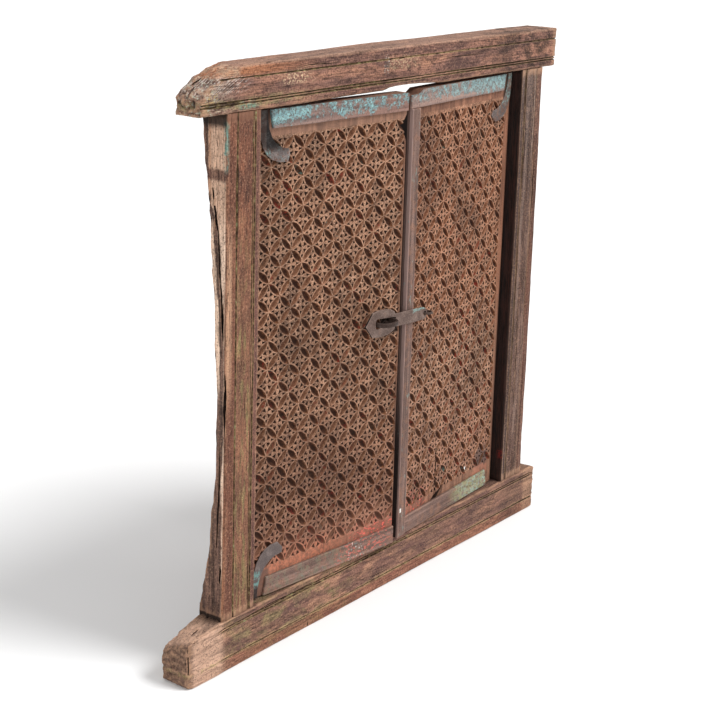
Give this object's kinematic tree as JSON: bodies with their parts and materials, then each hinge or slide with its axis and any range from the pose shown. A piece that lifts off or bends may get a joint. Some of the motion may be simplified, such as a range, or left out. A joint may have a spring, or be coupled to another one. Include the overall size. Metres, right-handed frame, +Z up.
{
  "type": "carved window shutter",
  "caption": "Two chip-carved wooden shutter leaves hung in a heavy moulded timber frame, with battens, iron straps and a hasp; old and weathered.",
  "frame": {"origin": "middle of the sill's underside", "axes": "+Z up, the carved front faces -Y, +X along the sill to the right as seen from the front"},
  "size_m": [1.034, 0.1071, 0.979],
  "materials": {
    "frame_wood": "weathered, waxed by handling, stained olive in the grooves",
    "jamb_wood": "weathered, raw and pale on the waney side",
    "carved_wood": "chip carved, dark in the pits, worn light on the ridges",
    "painted_wood": "flaking turquoise paint",
    "grey_wood": "grey-brown, scratched",
    "old_iron": "hand-forged, brown with old rust and worn edges"
  },
  "bodies": {
    "frame": {"lintel": "frame_wood", "sill": "frame_wood", "left_jamb": "jamb_wood", "right_jamb": "jamb_wood"},
    "left_leaf_body": {"left_leaf": "carved_wood", "left_leaf_top_batten": "painted_wood", "left_leaf_bottom_batten": "grey_wood", "left_top_strap": "old_iron", "left_bottom_strap": "old_iron", "hasp_staple": "old_iron"},
    "right_leaf_body": {"right_leaf": "carved_wood", "right_leaf_top_batten": "painted_wood", "right_leaf_bottom_batten": "grey_wood", "meeting_strip": "grey_wood", "right_top_strap": "old_iron", "hasp_ring": "old_iron"},
    "hasp_body": {"hasp": "old_iron"}
  },
  "joints": [
    {"name": "right_leaf_pivot", "type": "hinge", "parent": "frame", "child": "right_leaf_body", "pos_m": [0.3574, 0.001, 0.09], "axis": [0, 0, 1], "range_deg": [0, 76]},
    {"name": "left_leaf_pivot", "type": "hinge", "parent": "frame", "child": "left_leaf_body", "pos_m": [-0.3574, 0.001, 0.09], "axis": [0, 0, -1], "range_deg": [0, 73.72]},
    {"name": "hasp_pivot", "type": "hinge", "parent": "right_leaf_body", "child": "hasp_body", "pos_m": [0.06757, -0.04534, 0.504], "axis": [0, 0, 1], "range_deg": [0, 170]}
  ],
  "couplings": [
    {"joint": "left_leaf_pivot", "follows": "right_leaf_pivot", "ratio": 0.97}
  ]
}
